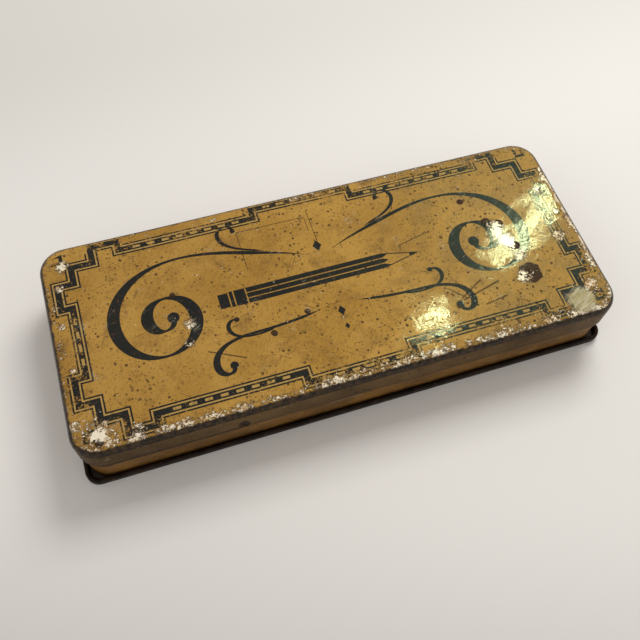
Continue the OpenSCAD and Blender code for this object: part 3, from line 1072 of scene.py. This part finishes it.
def wall_litho():
    """Plain brown-gold print of the body wall, darkened above the seam and under the lid's lip by
    painted shade with some grime.
    """
    g = Graph("wall_litho")
    cloud = g.noise(12, 4.0, 0.6)
    streak = g.noise(1.0, 3.0, 0.6, g.turned(0, (14, 14, 1.2)))
    grain = g.noise(0.9, 4.0, 0.65)
    colour = g.mix(g.step(cloud, 0.32, 0.68), srgb(108, 76, 32), srgb(142, 102, 44))
    spot, lot = g.cells(2.2)
    size = g.step(lot, 0.6, 1.0, 0.0, 0.4)
    specks = g.step(g.sub(g.add(spot, g.swing(grain, 0.5)), size), 0.10, 0.0)
    lines = g.noise(1.0, 1.0, 0.5, g.turned(0, (15, 15, 0.25)))
    scratch = g.step(lines, 0.70, 0.74)
    height = g.add(g.z, g.swing(g.noise(5, 4.0), 2.6))
    # Painted shade with some rust and grime: the wall darkens just above the bottom seam.
    seam_shade_and_grime = g.step(height, SEAM_H + 2.6, SEAM_H - 0.2)
    # Painted shade with some grime: a dark band on the wall under the lid's lip, strongest left of
    # the dent, fading where the lid covers the wall.
    shade_and_grime_under_lip = g.step(g.add(g.z, g.swing(g.noise(3, 4.0), 1.2)), LIP - 3.6, LIP - 2.2)
    along = g.add(g.x, g.swing(g.noise(9, 3.0), 30))
    shade_and_grime_under_lip = g.mul(shade_and_grime_under_lip, g.step(along, DENT_X - 5, DENT_X + 7, 0.92, 0.5))
    shade_and_grime_under_lip = g.mul(shade_and_grime_under_lip, g.step(height, LIP + 1.0, LIP + 4.5, 1.0, 0.3))
    rub = g.step(g.add(g.z, g.swing(g.noise(4, 4.0), 1.4)), WALL_TOP - 0.9, WALL_TOP - 0.5)
    colour = g.lay(colour, (g.step(streak, 0.5, 0.75), 0.5, srgb(74, 50, 24)),
                   (specks, 0.75, RUST_DARK), (scratch, 0.45, TIN), (seam_shade_and_grime, 0.85, RUST_DARK),
                   (shade_and_grime_under_lip, 1.0, RUST_DARK), (rub, 1.0, TIN_GREY))
    roughness = g.add(0.44, g.swing(cloud, 0.2))
    g.bump((g.noise(9, 2.0), 0.06), (g.sub(1.0, g.most(specks, scratch)), 0.03))
    metal = g.blend(g.most(rub, g.mul(scratch, 0.5)), 0.2, 0.9)
    return g.finish(colour, metal, roughness, Specular_IOR_Level=0.12)


def dark_tin():
    """Blackened, rubbed tin of the bottom seam and the underside."""
    g = Graph("dark_tin")
    cloud = g.noise(6, 4.0, 0.6)
    grain = g.noise(0.8, 4.0, 0.7)
    colour = g.mix(g.step(cloud, 0.35, 0.66), srgb(22, 15, 10), srgb(46, 31, 21))
    lines = g.noise(1.0, 1.0, 0.5, g.turned(20, (12, 0.35, 12)))
    rubbed = g.mul(g.step(g.noise(2.2, 5.0, 0.7), 0.62, 0.70), 0.5)
    scratch = g.most(g.mul(g.step(lines, 0.70, 0.74), 0.5), rubbed)
    colour = g.lay(colour, (g.step(grain, 0.55, 0.72), 0.35, RUST), (scratch, 1.0, srgb(96, 80, 62)))
    g.bump((g.noise(3.5, 3.0), 0.08), (grain, 0.03))
    return g.finish(colour, g.blend(scratch, 0.35, 0.85), g.blend(scratch, 0.5, 0.34),
                    Specular_IOR_Level=0.15)


def bare_tin(name):
    """Unprinted inside of the box: dull tin with pencil smudges, scratches and rust freckles."""
    g = Graph(name)
    cloud = g.noise(16, 4.0, 0.6)
    rolled = g.noise(1.0, 3.0, 0.6, g.turned(0, (40, 1.6, 1.6)))
    tone = g.add(g.mul(cloud, 0.75), g.mul(rolled, 0.25))
    colour = g.mix(g.step(tone, 0.34, 0.64), srgb(150, 143, 126), srgb(196, 189, 170))
    smudge = g.noise(1.0, 4.0, 0.6, g.turned(6, (26, 7, 7)))
    tea = g.noise(30, 4.0, 0.6, g.turned(0, shift=(4, 6, 0)))
    grain = g.noise(0.7, 4.0, 0.7)
    freckle = g.most(specks(g, 3.2, 0.05, 0.42, 0.4, grain), specks(g, 1.3, 0.03, 0.16, 0.5, grain))
    stained = g.step(g.noise(2.5, 5.0, 0.7, g.turned(0, (1.8, 1, 1), (3, 2, 0))), 0.60, 0.72)
    freckle = g.most(freckle, g.mul(stained, 0.4))
    lines = g.most(scratches(g, 4, 24, 0.3, 0.16, 61.0), scratches(g, -14, 18, 0.3, 0.14, 71.0))
    near_wall = g.add(outline_inset(g, *WALL), g.swing(grain, 2.0))
    dirt = g.mul(g.step(near_wall, 2.2, 0.2), g.step(g.z, 1.6, 0.4))
    colour = g.lay(colour, (g.step(smudge, 0.5, 0.72), 0.45, srgb(92, 88, 82)),
                   (g.step(tea, 0.52, 0.68), 0.4, srgb(136, 104, 62)), (freckle, 0.7, RUST),
                   (lines, 0.6, srgb(222, 220, 214)), (dirt, 0.92, RUST_DARK))
    g.bump((g.noise(10, 2.0), 0.06), (g.noise(1.4, 3.0), 0.008),
           (g.sub(1.0, g.most(lines, freckle)), 0.02))
    dull = g.most(freckle, dirt)
    metal = g.blend(dull, 0.45, 0.05)
    roughness = g.blend(dull, g.step(cloud, 0.3, 0.7, 0.34, 0.5), 0.8)
    return g.finish(colour, metal, roughness)


def old_steel(name, low, high, reach):
    """Tarnished steel of the hinges, pins and rivets, with patches of rust."""
    g = Graph(name)
    cloud = g.noise(reach, 4.0, 0.6)
    grain = g.noise(reach / 5, 4.0, 0.7)
    colour = g.mix(g.step(cloud, 0.3, 0.7), low, high)
    rust = g.step(g.noise(reach * 0.8, 5.0, 0.7, g.turned(0, shift=(6, 2, 4))), 0.55, 0.66)
    lines = g.noise(1.0, 1.0, 0.5, g.turned(12, (reach * 2, 4, 0.12)))
    rubbed = g.step(lines, 0.68, 0.74)
    colour = g.lay(colour, (rust, 0.8, RUST), (rubbed, 0.5, TIN))
    g.bump((grain, 0.02), (g.sub(1.0, rubbed), 0.008))
    roughness = g.blend(rust, g.step(grain, 0.3, 0.7, 0.30, 0.46), 0.8)
    return g.finish(colour, g.blend(rust, 0.9, 0.1), roughness)


def pale_floor():
    g = Graph("pale_floor")
    colour = g.mix(g.noise(220, 3.0), srgb(240, 237, 233), srgb(244, 241, 237))
    # Painted shade: the floor darkens towards the front and a little towards the back, standing in
    # for the fall of the light.
    slant = g.add(g.y, g.mul(g.x, 0.45))
    colour = g.mix(g.step(slant, -60, -220), colour, srgb(203, 200, 197))
    colour = g.mix(g.step(g.y, 60, 180), colour, srgb(224, 222, 217))
    g.bump((g.noise(2.0, 3.0), 0.01))
    return g.finish(colour, 0.0, 0.62)


# ---------- pieces ----------

gold = litho("gold_litho", GOLD_LIGHT, GOLD_MID, GOLD_DARK, 0.26, 0.48, dull=LAMP_TINTED_GOLD)
# The skirt's print is the gold print made darker: painted shade.
shaded_skirt_print = litho("skirt_litho", SKIRT_LIGHT, SKIRT_MID, SKIRT_DARK, 0.12, 0.5, coat=0.0)
ink = litho("ink_litho", INK_WORN, INK, INK, 0.10, 0.36, dull=LAMP_TINTED_INK, ink=True)
pale = litho("pale_litho", PALE_GOLD, PALE_GOLD, GOLD_LIGHT, 0.26, 0.48, dull=LAMP_TINTED_GOLD)
inside_lid = bare_tin("inside_lid")
inside_base = bare_tin("inside_base")
wall_print = wall_litho()
seam_tin = dark_tin()

lid = make_lid([gold, inside_lid, shaded_skirt_print])
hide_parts("lid_shell")
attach(lid, "lid")

wall = make_wall([wall_print, inside_base])
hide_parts("body_wall")
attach(wall, "base")

bottom = make_bottom([seam_tin, inside_base])
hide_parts("bottom_plate")
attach(bottom, "base")

make_border(ink, pale)
make_scrolls(ink)
make_pencil_mark(ink)

leaf_steel = old_steel("hinge_steel", srgb(84, 77, 65), srgb(124, 116, 102), 6.0)
pin_steel = old_steel("pin_wire", srgb(112, 108, 100), srgb(158, 154, 146), 2.0)
rivet_steel = old_steel("rivet_steel", srgb(92, 85, 74), srgb(134, 126, 112), 1.6)
CAD_LOOKS = {"hinge_leaf": leaf_steel, "hinge_pin": pin_steel, "rivets": rivet_steel}
for node_name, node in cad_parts.items():
    for part, look in CAD_LOOKS.items():
        if part in node_name:
            node.data.materials.clear()
            node.data.materials.append(look)


# ---------- floor, light and camera ----------

def make_floor():
    bpy.ops.mesh.primitive_plane_add(size=30, location=(0, 0, -0.05 * MM))
    floor = bpy.context.object
    floor.name = "floor"
    floor.data.materials.append(pale_floor())


def area_light(name, place, aim, size, power, colour, across=(1, 0, 0), glare=True):
    """Rectangular light in metres whose long side runs across: only a mirrored glare, or none."""
    data = bpy.data.lights.new(name, "AREA")
    data.shape = "RECTANGLE"
    data.size, data.size_y = size
    data.energy = power
    data.color = colour
    light = bpy.data.objects.new(name, data)
    back = (Vector(place) - Vector(aim)).normalized()
    up = back.cross(Vector(across)).normalized()
    turn = Matrix((up.cross(back), up, back)).transposed().to_4x4()
    light.matrix_world = Matrix.Translation(place) @ turn
    light.visible_glossy = glare
    light.visible_diffuse = not glare
    bpy.context.scene.collection.objects.link(light)


def make_lights():
    warm = (1.0, 0.99, 0.965)
    lamp = (0.86, 1.0, 0.52)
    area_light("key", (0.34, 0.36, 0.62), (0, 0, 0), (0.36, 0.36), 3.4, warm, glare=False)
    area_light("fill_left", (-0.60, -0.20, 0.50), (-0.1, 0, 0), (0.4, 0.4), 0.45, warm, glare=False)
    area_light("lamp_right", (0.643, 0.547, 0.969), (0.08, 0, 0.026), (0.17, 0.025), 0.95, lamp,
               across=(0.83, 0.56, 0))
    area_light("lamp_front", (0.383, 0.388, 0.969), (0.03, -0.027, 0.026), (0.035, 0.035), 0.45, lamp)
    world = bpy.data.worlds.new("soft_room")
    world.use_nodes = True
    back = world.node_tree.nodes["Background"]
    back.inputs["Color"].default_value = (1.0, 0.96, 0.92, 1)
    back.inputs["Strength"].default_value = 0.48
    bpy.context.scene.world = world


def make_camera():
    """Camera above the box's front left, in lid lengths, with a slight roll."""
    place = Vector((-0.28646, -0.65724, 1.29188)) * LID_L * MM
    aim = Vector((-0.04364, -0.07480, 0.13160)) * LID_L * MM
    roll = math.radians(5.21)
    data = bpy.data.cameras.new("camera")
    data.sensor_width = 36
    data.lens = 41.95
    data.clip_start = 0.01
    camera = bpy.data.objects.new("camera", data)
    look = (aim - place).to_track_quat("-Z", "Y").to_matrix().to_4x4()
    camera.matrix_world = Matrix.Translation(place) @ look @ Matrix.Rotation(roll, 4, "Z")
    bpy.context.scene.collection.objects.link(camera)
    bpy.context.scene.camera = camera


make_floor()
make_lights()
make_camera()
bpy.context.scene.view_settings.view_transform = "Standard"
